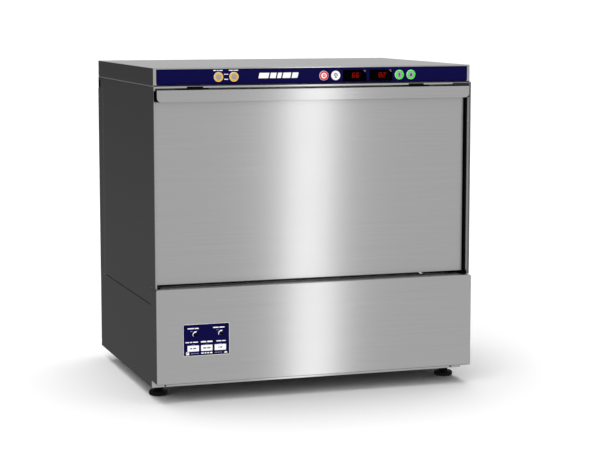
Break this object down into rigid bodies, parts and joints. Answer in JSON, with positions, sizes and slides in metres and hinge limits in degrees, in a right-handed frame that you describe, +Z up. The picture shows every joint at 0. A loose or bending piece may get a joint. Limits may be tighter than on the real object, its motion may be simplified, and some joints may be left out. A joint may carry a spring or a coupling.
{
  "type": "commercial dishwasher",
  "caption": "Underbench commercial dishwasher: a steel cabinet with a drop-down door, a control strip above it, a lower service panel, spray arms over and under a rack, and round feet.",
  "frame": {"origin": "on the floor under the middle of the machine", "axes": "+X to the right as seen from the front; +Y from the door to the back; +Z up"},
  "size_m": [0.69, 0.543, 0.68],
  "materials": {
    "stainless_steel": "fine brushed stainless sheet",
    "polished_steel": "smooth stainless sheet and tube",
    "fascia_blue": "dark blue printed membrane",
    "black_plastic": "moulded black plastic",
    "black_rubber": "moulded black rubber",
    "display_black": "gloss black display window",
    "circuit_board": "green board",
    "rack_plastic": "moulded blue plastic",
    "arm_plastic": "moulded grey plastic",
    "pump_metal": "grey painted casting",
    "heater_tube": "heat-darkened tube",
    "pump_plastic": "moulded white plastic",
    "brass": "machined brass",
    "button_amber": "amber ring with pale centre",
    "button_red": "red ring with pale centre",
    "button_white": "white ring with pale centre",
    "button_green": "green ring with pale centre"
  },
  "bodies": {
    "cabinet": {"base_chassis": "stainless_steel", "service_plate": "stainless_steel", "lower_front_panel": "stainless_steel", "side_panel_left": "stainless_steel", "side_panel_right": "stainless_steel", "rear_panel": "stainless_steel", "top_cover": "stainless_steel", "front_frame": "stainless_steel", "chamber_liner": "polished_steel", "wash_tank": "polished_steel", "tank_filter": "polished_steel", "rack_rail_left": "polished_steel", "rack_rail_right": "polished_steel", "wash_riser_pipe": "polished_steel", "rinse_boiler": "polished_steel", "hinge_pin_left": "polished_steel", "hinge_pin_right": "polished_steel", "label_plate": "fascia_blue", "control_fascia": "fascia_blue", "door_catch_left": "black_plastic", "door_catch_right": "black_plastic", "cable_gland": "black_plastic", "suction_hose": "black_rubber", "display_module": "display_black", "control_board": "circuit_board", "dish_rack": "rack_plastic", "lower_spray_post": "arm_plastic", "upper_spray_post": "arm_plastic", "drain_pipe": "arm_plastic", "wash_pump_motor": "pump_metal", "wash_pump_volute": "pump_metal", "tank_element": "heater_tube", "boiler_element": "heater_tube", "detergent_pump_body": "pump_plastic", "rinse_aid_pump_body": "pump_plastic", "inlet_valve": "brass"},
    "door": {"door_outer_skin": "stainless_steel", "door_inner_panel": "polished_steel", "door_handle_band": "stainless_steel", "door_gasket": "black_rubber"},
    "button_wash_left": {"button_wash_left": "button_amber"},
    "button_wash_right": {"button_wash_right": "button_amber"},
    "button_power": {"button_power": "button_red"},
    "button_drain": {"button_drain": "button_white"},
    "button_start": {"button_start": "button_green"},
    "button_rinse": {"button_rinse": "button_green"},
    "foot_front_left": {"foot_front_left": "black_rubber"},
    "foot_front_right": {"foot_front_right": "black_rubber"},
    "foot_rear_left": {"foot_rear_left": "black_rubber"},
    "foot_rear_right": {"foot_rear_right": "black_rubber"},
    "detergent_adjuster": {"detergent_adjuster": "black_plastic"},
    "rinse_aid_adjuster": {"rinse_aid_adjuster": "black_plastic"},
    "detergent_pump_rotor": {"detergent_pump_rotor": "black_plastic"},
    "rinse_aid_pump_rotor": {"rinse_aid_pump_rotor": "black_plastic"},
    "lower_wash_arm": {"lower_wash_arm": "arm_plastic"},
    "lower_rinse_arm": {"lower_rinse_arm": "polished_steel"},
    "upper_wash_arm": {"upper_wash_arm": "arm_plastic"},
    "upper_rinse_arm": {"upper_rinse_arm": "polished_steel"},
    "wash_pump_rotor": {"wash_pump_rotor": "pump_metal"},
    "overflow_standpipe": {"overflow_standpipe": "arm_plastic"}
  },
  "joints": [
    {"name": "door_hinge", "type": "hinge", "parent": "cabinet", "child": "door", "pos_m": [0, -0.232, 0.25], "axis": [1, 0, 0], "range_deg": [0, 90]},
    {"name": "button_wash_left_press", "type": "slide", "parent": "cabinet", "child": "button_wash_left", "axis": [0, 1, 0], "range_m": [0, 0.0012], "stiffness_N_per_m": 400, "springref_m": -0.0015},
    {"name": "button_wash_right_press", "type": "slide", "parent": "cabinet", "child": "button_wash_right", "axis": [0, 1, 0], "range_m": [0, 0.0012], "stiffness_N_per_m": 400, "springref_m": -0.0015},
    {"name": "button_power_press", "type": "slide", "parent": "cabinet", "child": "button_power", "axis": [0, 1, 0], "range_m": [0, 0.0012], "stiffness_N_per_m": 400, "springref_m": -0.0015},
    {"name": "button_drain_press", "type": "slide", "parent": "cabinet", "child": "button_drain", "axis": [0, 1, 0], "range_m": [0, 0.0012], "stiffness_N_per_m": 400, "springref_m": -0.0015},
    {"name": "button_start_press", "type": "slide", "parent": "cabinet", "child": "button_start", "axis": [0, 1, 0], "range_m": [0, 0.0012], "stiffness_N_per_m": 400, "springref_m": -0.0015},
    {"name": "button_rinse_press", "type": "slide", "parent": "cabinet", "child": "button_rinse", "axis": [0, 1, 0], "range_m": [0, 0.0012], "stiffness_N_per_m": 400, "springref_m": -0.0015},
    {"name": "detergent_adjuster_turn", "type": "hinge", "parent": "cabinet", "child": "detergent_adjuster", "pos_m": [-0.2631, -0.27, 0.1385], "axis": [0, 1, 0], "range_deg": [-135, 135]},
    {"name": "rinse_aid_adjuster_turn", "type": "hinge", "parent": "cabinet", "child": "rinse_aid_adjuster", "pos_m": [-0.2088, -0.27, 0.1385], "axis": [0, 1, 0], "range_deg": [-135, 135]},
    {"name": "detergent_pump_spin", "type": "hinge", "parent": "cabinet", "child": "detergent_pump_rotor", "pos_m": [-0.2631, -0.249, 0.098], "axis": [0, 1, 0], "continuous": true},
    {"name": "rinse_aid_pump_spin", "type": "hinge", "parent": "cabinet", "child": "rinse_aid_pump_rotor", "pos_m": [-0.2088, -0.249, 0.098], "axis": [0, 1, 0], "continuous": true},
    {"name": "lower_wash_arm_spin", "type": "hinge", "parent": "cabinet", "child": "lower_wash_arm", "pos_m": [0, 0.027, 0.25175], "axis": [0, 0, 1], "continuous": true},
    {"name": "lower_rinse_arm_spin", "type": "hinge", "parent": "cabinet", "child": "lower_rinse_arm", "pos_m": [0, 0.027, 0.269], "axis": [0, 0, 1], "continuous": true},
    {"name": "upper_wash_arm_spin", "type": "hinge", "parent": "cabinet", "child": "upper_wash_arm", "pos_m": [0, 0.027, 0.59975], "axis": [0, 0, 1], "continuous": true},
    {"name": "upper_rinse_arm_spin", "type": "hinge", "parent": "cabinet", "child": "upper_rinse_arm", "pos_m": [0, 0.027, 0.5825], "axis": [0, 0, 1], "continuous": true},
    {"name": "wash_pump_spin", "type": "hinge", "parent": "cabinet", "child": "wash_pump_rotor", "pos_m": [0.262, 0.1003, 0.105], "axis": [0, 1, 0], "continuous": true},
    {"name": "standpipe_lift", "type": "slide", "parent": "cabinet", "child": "overflow_standpipe", "axis": [0, 0, 1], "range_m": [0, 0.045]},
    {"name": "foot_front_left_turn", "type": "hinge", "parent": "cabinet", "child": "foot_front_left", "pos_m": [-0.32, -0.18, 0], "axis": [0, 0, 1], "continuous": true},
    {"name": "foot_front_right_turn", "type": "hinge", "parent": "cabinet", "child": "foot_front_right", "pos_m": [0.32, -0.18, 0], "axis": [0, 0, 1], "continuous": true},
    {"name": "foot_rear_left_turn", "type": "hinge", "parent": "cabinet", "child": "foot_rear_left", "pos_m": [-0.29, 0.195, 0], "axis": [0, 0, 1], "continuous": true},
    {"name": "foot_rear_right_turn", "type": "hinge", "parent": "cabinet", "child": "foot_rear_right", "pos_m": [0.29, 0.195, 0], "axis": [0, 0, 1], "continuous": true}
  ]
}
